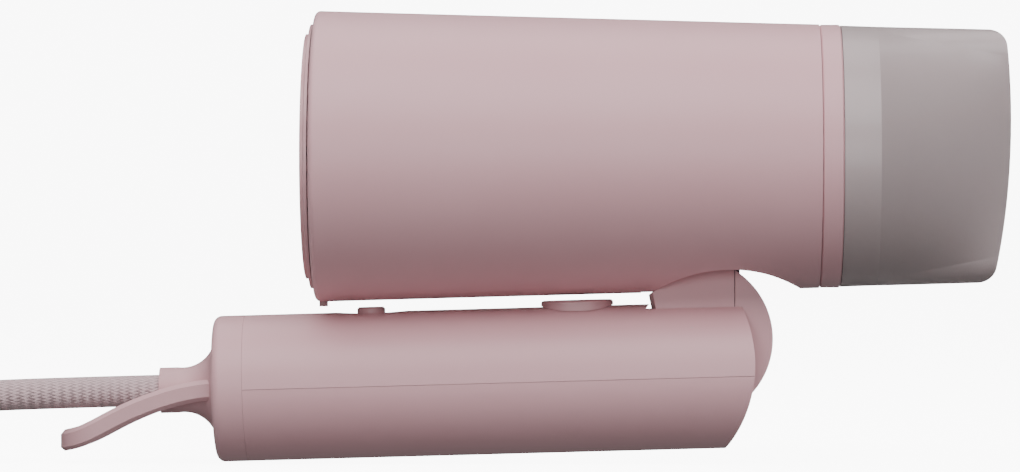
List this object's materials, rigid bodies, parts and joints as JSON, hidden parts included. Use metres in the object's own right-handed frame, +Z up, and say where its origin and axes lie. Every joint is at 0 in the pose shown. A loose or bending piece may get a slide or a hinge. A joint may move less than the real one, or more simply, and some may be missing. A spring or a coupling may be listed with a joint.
{
  "type": "hair dryer",
  "caption": "Foldable hair dryer: tapered barrel, folding round handle with slider and button, removable rear cover, turning nozzle, hanging loop and textile cord with a two-pin plug.",
  "frame": {"origin": "on the surface the folded dryer stands on, under the middle of its length without the cord", "axes": "+X towards the nozzle, +Z up, the dryer is symmetric about the XZ plane"},
  "size_m": [0.4397, 0.1014, 0.1127],
  "materials": {
    "soft_pink": "soft satin",
    "cover_pink": "satin",
    "control_pink": "satin",
    "soft_sleeve": "matte",
    "frosted_plastic": "frosted",
    "dark_plastic": "matte",
    "catch_plastic": "matte",
    "fan_plastic": "matte",
    "cord_textile": "braided",
    "plug_plastic": "satin",
    "plug_metal": "nickel plated",
    "small_metal": "zinc plated",
    "motor_steel": "plated",
    "circuit_board": "lacquered",
    "mica": "flaky",
    "heater_wire": "oxidised",
    "filter_steel": "woven",
    "capacitor_film": "gloss",
    "lead_sheath": "satin"
  },
  "bodies": {
    "barrel": {"barrel_shell": "soft_pink", "rear_frame": "dark_plastic", "air_duct": "dark_plastic", "motor": "motor_steel", "motor_board": "circuit_board", "mica_boards": "mica", "heater_coils": "heater_wire", "mica_sleeve": "mica", "thermal_cutout": "small_metal", "thermal_fuse": "small_metal", "outlet_grille": "dark_plastic", "hinge_bracket": "dark_plastic", "neck_cover": "soft_pink", "nose_cover": "soft_pink", "bracket_screws": "small_metal"},
    "fan_rotor": {"fan": "fan_plastic", "motor_shaft": "small_metal"},
    "cover": {"rear_cover": "cover_pink", "filter_mesh": "filter_steel"},
    "catch": {"cover_catch": "catch_plastic"},
    "ring": {"front_ring": "soft_pink"},
    "nozzle_body": {"nozzle": "frosted_plastic"},
    "handle": {"handle_upper_shell": "soft_pink", "handle_lower_shell": "soft_pink", "handle_end_cap": "soft_pink", "hinge_pin": "small_metal", "cord_sleeve": "soft_sleeve", "hanging_loop": "soft_sleeve", "cord_clamp": "dark_plastic", "clamp_screws": "small_metal", "shell_screws": "small_metal", "switch_board": "circuit_board", "slide_switch": "dark_plastic", "cool_switch": "dark_plastic", "capacitor": "capacitor_film", "supply_leads": "lead_sheath", "button_spring": "small_metal", "cord_end": "cord_textile", "cord_tube": "cord_textile", "cord_coil": "cord_textile", "cord_tail": "cord_textile", "plug_relief": "soft_sleeve", "plug_body": "plug_plastic", "plug_pins": "plug_metal"},
    "slider": {"speed_slider": "control_pink"},
    "button": {"cool_button": "control_pink"}
  },
  "joints": [
    {"name": "handle_fold", "type": "hinge", "parent": "handle", "child": "barrel", "pos_m": [0.03935, 0, 0.03086], "axis": [0, 1, 0], "range_deg": [0, 100]},
    {"name": "fan_spin", "type": "hinge", "parent": "barrel", "child": "fan_rotor", "pos_m": [0, 0, 0.07636], "axis": [1, 0, 0], "continuous": true},
    {"name": "rear_cover_pull", "type": "slide", "parent": "barrel", "child": "cover", "axis": [-1, 0, 0], "range_m": [0, 0.015]},
    {"name": "cover_catch_press", "type": "slide", "parent": "barrel", "child": "catch", "axis": [0, 0, 1], "range_m": [0, 0.0008], "stiffness_N_per_m": 400},
    {"name": "nozzle_turn", "type": "hinge", "parent": "barrel", "child": "ring", "pos_m": [0, 0, 0.07636], "axis": [1, 0, 0], "continuous": true},
    {"name": "nozzle_pull", "type": "slide", "parent": "ring", "child": "nozzle_body", "axis": [1, 0, 0], "range_m": [0, 0.012]},
    {"name": "speed_select", "type": "slide", "parent": "handle", "child": "slider", "axis": [0.9996, 0, 0.0279], "range_m": [0, 0.006]},
    {"name": "cool_shot_press", "type": "slide", "parent": "handle", "child": "button", "axis": [0.0279, 0, -0.9996], "range_m": [0, 0.001], "stiffness_N_per_m": 600, "deforming": ["button_spring"]}
  ]
}
